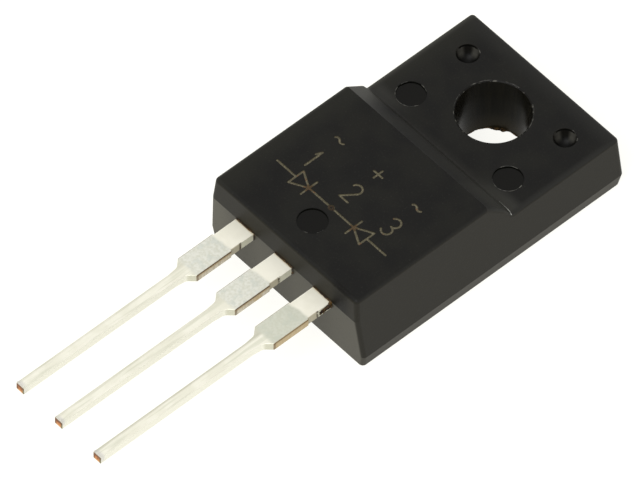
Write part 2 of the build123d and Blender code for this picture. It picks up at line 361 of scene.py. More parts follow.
# Paler walls below the seam: painted reflection of the table.
floor_reflection_tone = blend(tree, leans_further, "#45433b", "#35332c")
front_left_reflection = times(
    tree,
    step_up(tree, x, -3.2, -4.4),
    step_up(tree, y, FRONT_Y + 1.2, FRONT_Y + 0.6),
    step_up(tree, upness, -0.9, -0.6),
)
floor_reflection_tone = blend(tree, front_left_reflection, floor_reflection_tone, "#4e4c43")
with_floor_reflection = blend(tree, leans_back, smudged, floor_reflection_tone)
speckled = blend(tree, times(tree, step_up(tree, speckle, 0.55, 0.8), 0.5), with_floor_reflection, "#2a2925")
print("paler walls below the seam")

# %% [markdown]
# Stains, ejector discs and the hole's lip
#
# Thin resin stains the front brown just over each lead. The ejector pins leave smooth, darker discs, and the
# lip of the screw hole is chipped here and there down to paler resin. The disc masks stop a little below the
# tab's top, because a mask that only knows X and Y would go right through to the back face.

# %% Stains, discs and lip
DISC_EDGE = 0.04
beside_lead = calculate(tree, "ABSOLUTE", wrap(tree, x, LEAD_PITCH / 2, -LEAD_PITCH / 2))
stain = times(
    tree,
    step_up(tree, beside_lead, NECK_HALF + 0.25, NECK_HALF - 0.1),
    step_up(tree, across, LEAD_PITCH + 1.2, LEAD_PITCH + 1.0),
    band(tree, z, (LEAD_TOP + 0.40, LEAD_TOP), (LEAD_TOP - 0.3, LEAD_TOP - 0.2)),
    step_up(tree, y, FRONT_Y + 0.25, FRONT_Y + 0.15),
    step_up(tree, grain(tree, position, 0.5), 0.35, 0.6),
)
stained = blend(tree, stain, speckled, "#241b0a")

mirrored = add_node(tree, "ShaderNodeCombineXYZ", links={0: across, 1: y}).outputs[0]
tab_discs = disc_mask(tree, mirrored, (TAB_DISC_X, TAB_DISC_Y), DISC_RADIUS, DISC_EDGE)
body_disc = disc_mask(tree, mirrored, (0, BODY_DISC_Y), DISC_RADIUS, DISC_EDGE)
near_tops = step_up(tree, z, TAB_TOP - 0.20, TAB_TOP - 0.15)
discs = times(tree, calculate(tree, "MAXIMUM", tab_discs, body_disc), near_tops)
disc_floor = times(tree, discs, step_up(tree, upness, 0.9, 0.99))
# The dark tone also covers each disc's little wall, whose dark top edge is painted shade.
with_discs = blend(tree, discs, stained, "#050503")

at_mouth = disc_mask(tree, position, (0, 0), HOLE_MOUTH_RADIUS + HOLE_LIP, 0.01)
on_lip = times(tree, at_mouth, step_up(tree, z, TAB_TOP - HOLE_LIP - 0.01, TAB_TOP - HOLE_LIP))
chipped = step_up(tree, grain(tree, position, 0.28), 0.56, 0.64)
with_lip = blend(tree, on_lip, with_discs, blend(tree, chipped, "#0c0c0a", "#4f4e48"))
print("discs", DISC_DEPTH, "mm deep")

# %% [markdown]
# Pin pockets
#
# The ball-ended pins that held the leadframe leave two pockets. Their floors are painted darker with depth,
# as painted shade, and a pair of pale streaks is painted in each as painted highlights, on both sides of the
# bearing along which the camera looks. So each point's bearing is measured round its pocket, from that
# bearing. A thin painted shade under the rim marks the pocket's upright wall.

# %% Pin pockets
VIEW_BEARING = math.radians(136)
HEART_RADIUS, HEART_EDGE = 0.12, 0.16
pocket_floor = TAB_TOP - POCKET_WALL_DEPTH - POCKET_BALL_RADIUS
in_pocket = times(
    tree,
    disc_mask(tree, mirrored, (POCKET_X, POCKET_Y), POCKET_RADIUS, 0.03),
    band(tree, z, (TAB_TOP - 0.01, TAB_TOP - 0.04), (pocket_floor - 0.10, pocket_floor - 0.05)),
)
# Deeper in a pocket is painted darker: painted shade.
pocket_depth_shade = blend(tree, step_up(tree, z, pocket_floor + 0.40, pocket_floor + 0.15), "#151411", "#060605")
shaded_pocket = blend(tree, in_pocket, with_lip, pocket_depth_shade)

from_pocket = calculate(tree, "SUBTRACT", wrap(tree, x, 2 * POCKET_X, 0.0), POCKET_X)
bearing = calculate(tree, "ARCTAN2", calculate(tree, "SUBTRACT", y, POCKET_Y), from_pocket)
from_view = wrap(tree, calculate(tree, "SUBTRACT", bearing, VIEW_BEARING), math.pi, -math.pi)
off_view = calculate(tree, "DEGREES", calculate(tree, "ABSOLUTE", from_view))
# Pale streaks either side of the camera's bearing: painted highlights.
pocket_highlights = times(
    tree,
    band(tree, off_view, (12, 38), (80, 52)),
    in_pocket,
    outside(tree, disc_mask(tree, mirrored, (POCKET_X, POCKET_Y), HEART_RADIUS, HEART_EDGE)),
    step_up(tree, z, pocket_floor + 0.05, pocket_floor + 0.30),
)
with_pocket_highlights = blend(tree, pocket_highlights, shaded_pocket, "#45443f")
rim_shade = times(
    tree, in_pocket, step_up(tree, z, TAB_TOP - 0.15, TAB_TOP - 0.09), step_up(tree, off_view, 62, 44)
)
with_pockets = blend(tree, rim_shade, with_pocket_highlights, "#040403")
print("pockets", round(TAB_TOP - pocket_floor, 2), "mm deep")

# %% [markdown]
# Burnt mark floors
#
# The laser burns the black out of the surface and leaves the floor of each mark a khaki brown. The floors
# could be given a second material, but a CAD node's mesh stays whole, so a mask finds them by their height: a
# little under the front's face, but not as deep as the ejector disc.

# %% Burnt floors and the epoxy's finish
MARKS_END_X = 3.8
disc_floor_z = BODY_TOP - DISC_DEPTH
in_groove = times(
    tree,
    band(tree, z, (BODY_TOP - 0.004, BODY_TOP - 0.012), (disc_floor_z + 0.01, disc_floor_z + 0.02)),
    step_up(tree, across, MARKS_END_X + 0.1, MARKS_END_X),
    band(tree, y, (FRONT_Y + 0.6, FRONT_Y + 0.8), (STEP_TOP_Y - 0.31, STEP_TOP_Y - 0.71)),
    outside(tree, discs),
)
burn = blend(tree, step_up(tree, grain(tree, position, 0.25), 0.4, 0.65), "#454133", "#565140")
tree.links.new(blend(tree, in_groove, with_pockets, burn), shader.inputs["Base Color"])
tree.links.new(between(tree, disc_floor, 0.50, 0.27), shader.inputs["Roughness"])
relief(tree, shader, speckle, 0.006, 0.6)
dress("body", epoxy)
print("burnt floors", MARK_DEPTH, "mm down")

# %% [markdown]
# Tin plating on copper
#
# The leads were plated as a strip and cut afterwards. Matte tin is a warm white metal, duller where the punch
# bruised the wide part, with fine drawing lines along the narrow part, and nearly chalky on the neck, which
# the mould's clamping left alone. Each finish has its own place, so one material holds them all and reads how
# far along and across the lead it is.

# %% Tin on the narrow part
tin, tree, shader = new_material("tin_plated_copper")
position, x, y, z = place(tree)
lead_x = wrap(tree, x, LEAD_PITCH / 2, -LEAD_PITCH / 2)
last_lead = step_up(tree, x, 1.2, 1.4)
facing = add_node(tree, "ShaderNodeNewGeometry").outputs["Normal"]
facing_x, facing_y, _ = add_node(tree, "ShaderNodeSeparateXYZ", links={0: facing}).outputs
on_side = step_up(tree, calculate(tree, "ABSOLUTE", facing_x), 0.4, 0.8)
cloud = grain(tree, position, 0.9)
mottle = grain(tree, position, 0.12, 3.0)
lines = grain(tree, position, 0.05, 2.0, (1, 0.03, 1))
bands = grain(tree, position, 0.18, 2.0, (1, 0.06, 1))

cream = blend(tree, step_up(tree, cloud, 0.35, 0.65), "#eeeddd", "#f6f5e7")
banded = blend(tree, times(tree, step_up(tree, bands, 0.5, 0.68), 0.7), cream, "#dcddcb")
scratched = blend(tree, times(tree, step_up(tree, lines, 0.58, 0.8), 0.5), banded, "#cfcdb9")
rolled_share = calculate(tree, "ADD", times(tree, last_lead, 0.35), 0.30)
# The left edge of each narrow part is painted darker: painted shade on its rounding.
rolled_edge_shade = times(tree, step_up(tree, lead_x, -0.08, -0.20), rolled_share)
shaded = blend(tree, rolled_edge_shade, scratched, "#bab9a6")
# Side faces of the narrow part are painted a little darker: painted shade.
narrow = blend(tree, on_side, shaded, "#eae9dc")
print("drawing lines 0.05 mm apart")

# %% Tin on the wide part and the neck
bruised = blend(tree, step_up(tree, mottle, 0.3, 0.7), "#d8d9cc", "#e5e6dd")
dull_patches = times(tree, step_up(tree, grain(tree, position, 0.35), 0.5, 0.65), 0.45)
bruised = blend(tree, dull_patches, bruised, "#cdd3cb")
bruised = blend(tree, times(tree, last_lead, 0.5), bruised, "#c3c7b4")
neck_top = blend(tree, step_up(tree, cloud, 0.4, 0.62), "#edebdd", "#e8e6d7")
crept_resin = times(tree, step_up(tree, y, FRONT_Y - 0.14, FRONT_Y - 0.05), 0.7)
neck_top = blend(tree, crept_resin, neck_top, "#bfb391")
# The neck's side faces are painted darker: painted shade.
neck = blend(tree, on_side, neck_top, "#cfcebb")

past_middle = step_up(tree, y, STUB_END_Y + 0.9, STUB_END_Y + 1.1)
slanted = calculate(tree, "SUBTRACT", y, times(tree, lead_x, 0.12))
wavering = times(tree, calculate(tree, "SUBTRACT", cloud, 0.5), 0.3)
bruise_start = calculate(tree, "ADD", slanted, wavering)
on_stub = times(
    tree,
    step_up(tree, bruise_start, STUB_START_Y + 0.10, STUB_START_Y - 0.10),
    step_up(tree, y, STUB_END_Y - 0.15, STUB_END_Y + 0.10),
)
on_neck = times(tree, past_middle, outside(tree, on_stub))
plated = blend(tree, on_stub, blend(tree, past_middle, narrow, neck), bruised)
# Faces turned towards the tips are painted darker: painted shade.
plated = blend(tree, step_up(tree, facing_y, -0.3, -0.7), plated, "#c9c8b6")
print("bruised tin from y", STUB_START_Y, "to", STUB_END_Y)

# %% [markdown]
# Where the tools cut
#
# Wherever a tool cut after plating, copper shows: on the sides where the bar that joined the leads was
# sheared off, and on the tips. The shear leaves a pale copper side, darker along its top and browner there on
# the last lead, and a torn notch on the neck beside it, whose dark tone is painted shade.

# %% Copper on the sheared sides
TEAR_END_Y = STUB_START_Y + 0.60
tear = grain(tree, position, 0.10, 2.0, (1, 1, 0.15))
copper_cut = blend(tree, step_up(tree, tear, 0.35, 0.7), "#bcb29d", "#d2cbb9")
tarnish = calculate(tree, "MAXIMUM", last_lead, step_up(tree, cloud, 0.55, 0.7))
orange_cut = blend(tree, times(tree, tarnish, 0.6), copper_cut, "#b3985f")
upper_side = blend(tree, step_up(tree, z, LEAD_TOP - 0.26, LEAD_TOP - 0.12), orange_cut, "#b5a27c")
top_band_tone = blend(tree, last_lead, "#614b32", "#7d6640")
copper_side = blend(tree, step_up(tree, z, LEAD_TOP - 0.13, LEAD_TOP - 0.07), upper_side, top_band_tone)
far_end = step_up(tree, y, STUB_END_Y + 0.16, STUB_END_Y + 0.08)
copper_side = blend(tree, times(tree, far_end, 0.7), copper_side, "#6f5a40")
sheared_side = step_up(tree, calculate(tree, "ABSOLUTE", lead_x), STUB_HALF - 0.02, STUB_HALF - 0.008)
with_sides = blend(tree, sheared_side, plated, copper_side)

neck_side = times(
    tree,
    step_up(tree, lead_x, NECK_HALF - 0.04, NECK_HALF - 0.02),
    step_up(tree, y, STUB_START_Y - 0.01, STUB_START_Y + 0.01),
)
torn = times(tree, neck_side, step_up(tree, y, TEAR_END_Y, TEAR_END_Y - 0.08))
with_tear = blend(tree, torn, with_sides, "#b3ad97")
# The notch's dark tone is painted shade inside it.
notch = band(tree, y, (TEAR_END_Y - 0.10, TEAR_END_Y - 0.04), (TEAR_END_Y + 0.10, TEAR_END_Y))
notch = times(tree, notch, neck_side, step_up(tree, mottle, 0.38, 0.55))
scarred = blend(tree, notch, with_tear, "#4c4230")
print("copper on the sides to y", STUB_END_Y)

# %% [markdown]
# Cut tips
#
# A tip shows copper from edge to edge: dark where the blade went in along the top and the left, pale where
# it broke out at the bottom, under a lip of dragged tin. Cut copper and the neck are less shiny than tin.

# %% Cut tips and the tin's finish
tip_face = times(
    tree,
    step_up(tree, lead_x, TIP_HALF + 0.01, TIP_HALF - 0.02),
    step_up(tree, z, LEAD_TOP - 0.02, LEAD_TOP - 0.06),
    step_up(tree, y, TIP_Y + 0.02, TIP_Y + 0.01),
)
copper_tip = blend(tree, step_up(tree, mottle, 0.35, 0.65), "#8a4f26", "#bb743c")
broken_out = blend(tree, step_up(tree, z, LEAD_BACK + 0.16, LEAD_BACK + 0.03), copper_tip, "#cf9d66")
right_end = blend(tree, step_up(tree, lead_x, TIP_HALF - 0.16, TIP_HALF - 0.05), broken_out, "#6e6745")
blade_edge = calculate(
    tree,
    "MAXIMUM",
    step_up(tree, z, LEAD_TOP - 0.24, LEAD_TOP - 0.12),
    step_up(tree, lead_x, 0.14 - TIP_HALF, 0.05 - TIP_HALF),
)
bladed_tip = blend(tree, times(tree, blade_edge, 0.8), right_end, "#5a3a1e")
# The tin's top is greyer just behind each tip.
greyed_near_tip = times(tree, step_up(tree, y, TIP_Y + 0.30, TIP_Y + 0.10), step_up(tree, cloud, 0.4, 0.6), 0.5)
with_grey_near_tip = blend(tree, greyed_near_tip, scarred, "#c3c1c2")
tree.links.new(blend(tree, tip_face, with_grey_near_tip, bladed_tip), shader.inputs["Base Color"])

chalky = calculate(tree, "MAXIMUM", calculate(tree, "MAXIMUM", on_neck, sheared_side), tip_face)
tree.links.new(between(tree, chalky, 0.5, 0.1), shader.inputs["Metallic"])
rough_places = calculate(tree, "MAXIMUM", on_stub, chalky)
tree.links.new(between(tree, rough_places, 0.46, 0.62), shader.inputs["Roughness"])
lines_and_bruises = calculate(tree, "ADD", lines, times(tree, mottle, on_stub))
relief(tree, shader, lines_and_bruises, 0.003, 0.4)
for name in ("cathode_lead", "anode_lead_1", "anode_lead_2"):
    dress(name, tin)
print("tin on three leads, copper at y", TIP_Y)

# %% [markdown]
# What the epoxy hides
#
# Nobody sees the header, the chips, the solder or the bond wires in a finished part, but anyone who opens the
# model does. Stamped copper has rolling lines and darker spots of oxide, a chip is polished silicon with a
# sawn edge, solder sets in dull crystals, and bond wire is drawn aluminium. Each is a short material of its
# own: two tones, the size of its spots and how they are drawn out, and how metallic and rough it is.


# %% Hidden metals and silicon
def hidden_material(name, light, shade, spot_mm, stretch, metallic, rough):
    """Two tones in spots of a given size, which also lift the surface a little."""
    material, tree, shader = new_material(name, metallic=metallic, rough=rough)
    spots = grain(tree, place(tree)[0], spot_mm, 3.0, stretch)
    tone = blend(tree, step_up(tree, spots, 0.35, 0.7), light, shade)
    tree.links.new(tone, shader.inputs["Base Color"])
    relief(tree, shader, spots, 0.004, 0.4)
    return material


ALONG_LEADS, ALONG_WIRE, EVEN = (1, 0.08, 1), (1, 0.05, 1), (1, 1, 1)
rolled_copper = hidden_material("rolled_copper", "#c98a62", "#a9683f", 0.25, ALONG_LEADS, 1.0, 0.35)
set_solder = hidden_material("set_solder", "#9c9d9f", "#7d7e82", 0.12, EVEN, 1.0, 0.45)
polished_silicon = hidden_material("polished_silicon", "#4b4c55", "#3d3e47", 0.50, EVEN, 0.0, 0.12)
drawn_aluminium = hidden_material("drawn_aluminium", "#d9dadb", "#b9babc", 0.05, ALONG_WIRE, 1.0, 0.30)
dress("header", rolled_copper)
for name in ("lead_solder", "die_solder_1", "die_solder_2"):
    dress(name, set_solder)
for name in ("die_1", "die_2"):
    dress(name, polished_silicon)
for number in range(1, 5):
    dress(f"bond_wire_{number}", drawn_aluminium)
print("dressed", len([n for n in nodes.values() if n.data.materials]), "of", len(nodes), "CAD nodes")

# %% [markdown]
# Turning a node tree into a plain piece
#
# Beads along a path are what Geometry Nodes are for: one tree, fed with different paths and sizes, makes them
# all. The export wants plain meshes, so each tree is run once on its object and the result replaces the
# object's mesh. A modifier's inputs are set by the socket's identifier, because names aren't unique there.


# %% Bake helper
def bake(name, base_mesh, tree, inputs):
    """Runs a node tree on a base mesh and leaves the result as a plain object that rides on the part."""
    piece = new_object(name, base_mesh)
    modifier = piece.modifiers.new("maker", "NODES")
    modifier.node_group = tree
    for item in tree.interface.items_tree:
        if item.item_type == "SOCKET" and item.in_out == "INPUT" and item.name in inputs:
            modifier[item.identifier] = inputs[item.name]
    graph = bpy.context.evaluated_depsgraph_get()
    graph.update()
    baked = bpy.data.meshes.new_from_object(piece.evaluated_get(graph))
    piece.modifiers.clear()
    piece.data = baked
    baked.name = name
    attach(piece, "root")
    print(name, "has", len(baked.polygons), "faces")


# %% Tree helpers
def new_tree(name, inputs):
    """A geometry tree with a mesh in and out, and inputs that are numbers, or None for a material."""
    tree = bpy.data.node_groups.new(name, "GeometryNodeTree")
    tree.interface.new_socket("Geometry", in_out="INPUT", socket_type="NodeSocketGeometry")
    kinds = {int: "NodeSocketInt", float: "NodeSocketFloat"}
    for label, value in inputs.items():
        kind = kinds.get(type(value), "NodeSocketMaterial")
        socket = tree.interface.new_socket(label, in_out="INPUT", socket_type=kind)
        if value is not None:
            socket.default_value = value
    tree.interface.new_socket("Geometry", in_out="OUTPUT", socket_type="NodeSocketGeometry")
    print(name, "takes", ", ".join(inputs))
    return tree, add_node(tree, "NodeGroupInput").outputs


def even_points(tree, given, step_name):
    """The edges that a tree is given, as curves with a point at every step."""
    path = add_node(tree, "GeometryNodeMeshToCurve", links={0: given["Geometry"]})
    sockets = {"Curve": path.outputs[0], "Length": given[step_name]}
    return add_node(tree, "GeometryNodeResampleCurve", {"mode": "LENGTH"}, sockets).outputs[0]


# %% Path helpers
def path_mesh(name, paths, closed=False):
    """Open or closed paths, in millimetres, as bare edges."""
    points, edges = [], []
    for path in paths:
        first = len(points)
        points += [Vector(p) * MM for p in path]
        edges += [(first + i, first + i + 1) for i in range(len(path) - 1)]
        if closed:
            edges.append((len(points) - 1, first))
    mesh = bpy.data.meshes.new(name)
    mesh.from_pydata(points, edges, [])
    return mesh


def arc(centre, radius, start, end, steps=14):
    """Points along part of a circle, from one angle to another in degrees."""
    turns = [math.radians(start + (end - start) * i / steps) for i in range(steps + 1)]
    return [(centre[0] + radius * math.cos(t), centre[1] + radius * math.sin(t)) for t in turns]


print("an arc has", len(arc((0, 0), 1, 0, 90)), "points unless it is told otherwise")

# %% [markdown]
# The laser's dots
#
# The marking laser fires in pulses, and each leaves a tiny crater of burnt resin that overlaps the last. CAD
# holds the groove, and this piece puts the pulses in it: a squashed ball is set at even steps along every
# stroke, with its size and place a little uneven. The paths repeat the strokes of the engraved marks.

# %% Strokes of the numbers and signs
GLYPH_HEIGHT, BOWL_RADIUS = 1.05, 0.27
NUMBER_ROW_Y, SIGN_ROW_Y = FRONT_Y + 3.55, FRONT_Y + 5.10
middle, quarter = GLYPH_HEIGHT / 2, GLYPH_HEIGHT / 4
bowl_y = GLYPH_HEIGHT - BOWL_RADIUS
one = [[(-BOWL_RADIUS / 2, bowl_y), (0, GLYPH_HEIGHT), (0, 0)]]
two = [arc((0, bowl_y), BOWL_RADIUS, 165, -35) + [(-BOWL_RADIUS, 0), (BOWL_RADIUS, 0)]]
three = [arc((0, 3 * quarter), quarter, 150, -90), arc((0, quarter), quarter, 90, -150)]
wave_angles = [math.pi * (i / 8 - 1) for i in range(17)]
wave = [[(BOWL_RADIUS * a / math.pi, middle - BOWL_RADIUS / 4 * math.sin(a)) for a in wave_angles]]
plus = [
    [(-BOWL_RADIUS, middle), (BOWL_RADIUS, middle)],
    [(0, middle - BOWL_RADIUS), (0, middle + BOWL_RADIUS)],
]
strokes = []
for column, (number, sign) in enumerate(zip((one, two, three), (wave, plus, wave)), start=-1):
    strokes += [[(px + column * LEAD_PITCH, py + NUMBER_ROW_Y) for px, py in s] for s in number]
    strokes += [[(px + column * LEAD_PITCH, py + SIGN_ROW_Y) for px, py in s] for s in sign]
print(len(strokes), "strokes in the numbers and signs")

# %% Strokes of the diode symbol
SYMBOL_Y = FRONT_Y + 2.81
BAR_X, BAR_HALF, BASE_X, BASE_HALF, NODE_RADIUS, REACH_X = 1.47, 0.49, 2.33, 0.46, 0.10, 3.55
symbol = [arc((0, 0), NODE_RADIUS, 0, 360, 12)]
for side in (-1, 1):
    symbol += [
        [(side * (NODE_RADIUS + 0.06), 0), (side * BAR_X, 0)],
        [(side * BAR_X, -BAR_HALF), (side * BAR_X, BAR_HALF)],
        [(side * BAR_X, 0), (side * BASE_X, BASE_HALF), (side * BASE_X, -BASE_HALF), (side * BAR_X, 0)],
        [(side * BASE_X, 0), (side * REACH_X, 0)],
    ]
strokes += [[(px, py + SYMBOL_Y) for px, py in s] for s in symbol]
stroke_paths = [[(px, py, BODY_TOP - MARK_DEPTH) for px, py in s] for s in strokes]
print(len(strokes), "laser strokes in all")

# %% Burnt resin
burnt, tree, shader = new_material("burnt_resin", rough=0.8, specular=0.25)
position = place(tree)[0]
khaki = blend(tree, step_up(tree, grain(tree, position, 0.06), 0.4, 0.7), "#4c4839", "#6c6653")
rusty = step_up(tree, grain(tree, position, 0.22), 0.62, 0.75)
burn_tone = blend(tree, rusty, khaki, "#6b4428")
mirrored = add_node(tree, "ShaderNodeVectorMath", {"operation": "ABSOLUTE"}, {0: position}).outputs[0]
at_bars = disc_mask(tree, mirrored, (BAR_X, -SYMBOL_Y), 0.16, 0.12)
at_node = disc_mask(tree, mirrored, (0, -SYMBOL_Y), NODE_RADIUS + 0.05, 0.08)
burn_tone = blend(tree, times(tree, at_bars, 0.8), burn_tone, "#45311a")
burn_tone = blend(tree, times(tree, at_node, 0.9), burn_tone, "#2b1d10")
tree.links.new(burn_tone, shader.inputs["Base Color"])
print("darker burns at the symbol's bars and node")

# %% Pulses along the strokes
PULSE_SEED = 3
pulse_sizes = {"Spacing": 0.05 * MM, "Radius": 0.05 * MM, "Flatness": 0.25, "Stray": 0.008 * MM}
tree, given = new_tree("pulses_on_paths", {**pulse_sizes, "Seed": PULSE_SEED})
spaced = even_points(tree, given, "Spacing")
stray = add_node(tree, "ShaderNodeCombineXYZ", links={0: given["Stray"], 1: given["Stray"]}).outputs[0]
back = add_node(tree, "ShaderNodeVectorMath", {"operation": "SCALE", "Scale": -1.0}, {0: stray}).outputs[0]
shift = add_node(
    tree,
    "FunctionNodeRandomValue",
    {"data_type": "FLOAT_VECTOR"},
    {0: back, 1: stray, "Seed": given["Seed"]},
)
moved = add_node(tree, "GeometryNodeSetPosition", links={0: spaced, "Offset": shift.outputs[0]})
ball = add_node(tree, "GeometryNodeMeshUVSphere", {"Segments": 8, "Rings": 4}, {"Radius": given["Radius"]})
squash = add_node(tree, "ShaderNodeCombineXYZ", {0: 1.0, 1: 1.0}, {2: given["Flatness"]})
pulse = add_node(tree, "GeometryNodeTransform", links={0: ball.outputs[0], "Scale": squash.outputs[0]})
size_range = {"data_type": "FLOAT", 2: 0.8, 3: 1.15}
uneven = add_node(tree, "FunctionNodeRandomValue", size_range, {"Seed": given["Seed"]})
placed = add_node(
    tree,
    "GeometryNodeInstanceOnPoints",
    links={"Points": moved.outputs[0], "Instance": pulse.outputs[0], "Scale": uneven.outputs[1]},
)
real = add_node(tree, "GeometryNodeRealizeInstances", links={0: placed.outputs[0]})
finished = add_node(tree, "GeometryNodeSetMaterial", {"Material": burnt}, {0: real.outputs[0]})
add_node(tree, "NodeGroupOutput", links={0: finished.outputs[0]})
bake("laser_pulses", path_mesh("laser_paths", stroke_paths), tree, {"Seed": PULSE_SEED})

# %% [markdown]
# Rims, burrs and resin that follow an edge
#
# Three kinds of trace run along an edge: the thin rim that an ejector pin leaves round its disc, the resin
# that creeps out round a lead's root, and the burr of dragged tin along a cut tip's top. All are a bead along
# an open or closed path that swells and shrinks, so one tree makes them. It takes the bead's radius, how
# uneven it is, and how long a swell is.

# %% Bead tree
SWELL_GAIN = 3.0
bead_sizes = {"Radius": 0.02 * MM, "Step": 0.03 * MM, "Swell": 0.3 * MM, "Unevenness": 0.6, "Least": 0.15}
bead_tree, given = new_tree("uneven_bead", {**bead_sizes, "Seed": 5, "Finish": None})
spaced = even_points(bead_tree, given, "Step")
where = add_node(bead_tree, "GeometryNodeInputPosition").outputs[0]
per_swell = calculate(bead_tree, "DIVIDE", 1.0, given["Swell"])
swell_noise = add_node(
    bead_tree,
    "ShaderNodeTexNoise",
    {"noise_dimensions": "4D", "Detail": 2.0},
    {"Vector": where, "Scale": per_swell, "W": given["Seed"]},
)
centred = calculate(bead_tree, "SUBTRACT", swell_noise.outputs[0], 0.5)
swell = times(bead_tree, centred, SWELL_GAIN)
about_one = {"operation": "MULTIPLY_ADD", 2: 1.0}
uneven = add_node(bead_tree, "ShaderNodeMath", about_one, {0: swell, 1: given["Unevenness"]}).outputs[0]
thickness = calculate(bead_tree, "MAXIMUM", uneven, given["Least"])
section = {"Resolution": 6}
profile = add_node(bead_tree, "GeometryNodeCurvePrimitiveCircle", section, {"Radius": given["Radius"]})
bead = add_node(
    bead_tree,
    "GeometryNodeCurveToMesh",
    {"Fill Caps": True},
    {"Curve": spaced, "Profile Curve": profile.outputs[0], "Scale": thickness},
)
real = add_node(bead_tree, "GeometryNodeRealizeInstances", links={0: bead.outputs[0]})
smooth = add_node(bead_tree, "GeometryNodeSetShadeSmooth", links={0: real.outputs[0]}).outputs[0]
finished = add_node(bead_tree, "GeometryNodeSetMaterial", links={0: smooth, "Material": given["Finish"]})
add_node(bead_tree, "NodeGroupOutput", links={0: finished.outputs[0]})


# %% Bead helpers
def level_arcs(centre, radius, height, *spans):
    """Open paths along a level circle, one for each span of degrees, with a point every 5 degrees or so."""
    arcs = [arc(centre, radius, *span, max(4, round((span[1] - span[0]) / 5))) for span in spans]
    return [[(*point, height) for point in path] for path in arcs]


def bead_piece(name, paths, finish, slot_name, seed, radius, swell, unevenness, least, closed=False):
    """Bakes beads along paths, sizes in millimetres. The least thickness is a share of the radius."""
    inputs = {
        "Radius": radius * MM,
        "Step": max(0.02, radius) * MM,
        "Swell": swell * MM,
        "Unevenness": unevenness,
        "Least": least,
        "Seed": seed,
        "Finish": finish,
    }
    bake(name, path_mesh(name, paths, closed), bead_tree, inputs)


# %% [markdown]
# Rims of thin resin
#
# Thin resin without much filler creeps wherever the mould's pieces meet. On the front it leaves pale, broken
# rims: round the ejector pins, round the mouth of the screw hole and at the pin pockets. They catch the
# light, so they are lighter than the block. A rim is broken, so each circle has only a few spans of it.

# %% Pale rims
pale_rim, tree, shader = new_material("raised_resin_rim", rough=0.4, specular=0.3)
patches = step_up(tree, grain(tree, place(tree)[0], 0.2), 0.4, 0.7)
tree.links.new(blend(tree, patches, "#21211f", "#5c5b55"), shader.inputs["Base Color"])

tab_rim = DISC_RADIUS, TAB_TOP - 0.005
body_rim = DISC_RADIUS - 0.014, BODY_TOP - 0.018
disc_rims = [
    *level_arcs((-TAB_DISC_X, TAB_DISC_Y), *tab_rim, (195, 345), (60, 95), (150, 175)),
    *level_arcs((TAB_DISC_X, TAB_DISC_Y), *tab_rim, (230, 375), (100, 170)),
    *level_arcs((0, BODY_DISC_Y), *body_rim, (280, 300), (335, 362)),
]
bead_piece(
    "ejector_rims", disc_rims, pale_rim, "epoxy", seed=2, radius=0.016, swell=0.4, unevenness=1.4, least=0.1
)
mouth_rim, pocket_rim = (HOLE_MOUTH_RADIUS + HOLE_LIP, TAB_TOP), (POCKET_RADIUS, TAB_TOP)
mouth_rims = [
    *level_arcs((0, 0), *mouth_rim, (98, 120), (140, 172), (195, 235), (10, 62)),
    *level_arcs((-POCKET_X, POCKET_Y), *pocket_rim, (50, 80)),
    *level_arcs((POCKET_X, POCKET_Y), *pocket_rim, (75, 100), (30, 45)),
]
bead_piece(
    "mouth_rims", mouth_rims, pale_rim, "epoxy", seed=7, radius=0.015, swell=0.3, unevenness=1.8, least=0.08
)

# %% [markdown]
# A fin at the end of the step
#
# The step was shaped by an insert in the mould. Where the insert ends, at the right, resin was squeezed into
# the gap and stands up as one short fin, painted pale as a highlight that grows brighter towards the edge. It
# thickens towards the edge, so it is made of two beads. The points of their paths, in millimetres, run along
# the step's foot and then down round the block's edge.

# %% Step fin
fin_with_highlight, tree, shader = new_material("resin_fin_painted_highlight", rough=0.4)
position, x = place(tree)[:2]
# Painted highlight: pale, and paler towards the block's edge.
fin_tone = blend(tree, step_up(tree, x, 4.0, 4.8), "#4e4e4a", "#a9a9a4")
fin_tone = blend(tree, times(tree, grain(tree, position, 0.1), 0.3), fin_tone, "#3c3c38")
tree.links.new(fin_tone, shader.inputs["Base Color"])
fin_bead = {"seed": 4, "swell": 0.3, "unevenness": 0.5}
thin_fin = [(3.90, -3.27, 3.19), (4.22, -3.27, 3.19), (4.56, -3.29, 3.20)]
bead_piece("step_fin", [thin_fin], fin_with_highlight, "epoxy", radius=0.014, least=0.4, **fin_bead)
fin_end = [(4.50, -3.29, 3.20), (4.66, -3.32, 3.19), (4.80, -3.35, 3.14)]
bead_piece("step_fin_end", [fin_end], fin_with_highlight, "epoxy", radius=0.026, least=0.5, **fin_bead)

# %% [markdown]
# Brown resin at the leads
#
# Where a lead leaves the block, the same thin resin is squeezed into the gap round it and burns brown: a bead
# round each root, and a torn flake on the side of the last lead. A burr of dragged tin lies along the top of
# each cut tip.

# %% Brown resin and tin burrs
resin, tree, shader = new_material("resin_flash", rough=0.35, specular=0.3)
thin_spots = step_up(tree, grain(tree, place(tree)[0], 0.15), 0.4, 0.7)
tree.links.new(blend(tree, thin_spots, "#20150a", "#57401f"), shader.inputs["Base Color"])

lead_middles = [n * LEAD_PITCH for n in (-1, 0, 1)]
root_corners = (
    (-NECK_HALF, LEAD_BACK),
    (NECK_HALF, LEAD_BACK),
    (NECK_HALF, LEAD_TOP),
    (-NECK_HALF, LEAD_TOP),
)
roots = [[(mx + cx, FRONT_Y - 0.005, cz) for cx, cz in root_corners] for mx in lead_middles]
root_bead = {"radius": 0.05, "swell": 0.3, "unevenness": 0.8, "least": 0.2}
bead_piece("root_resin", roots, resin, "epoxy", seed=9, closed=True, **root_bead)

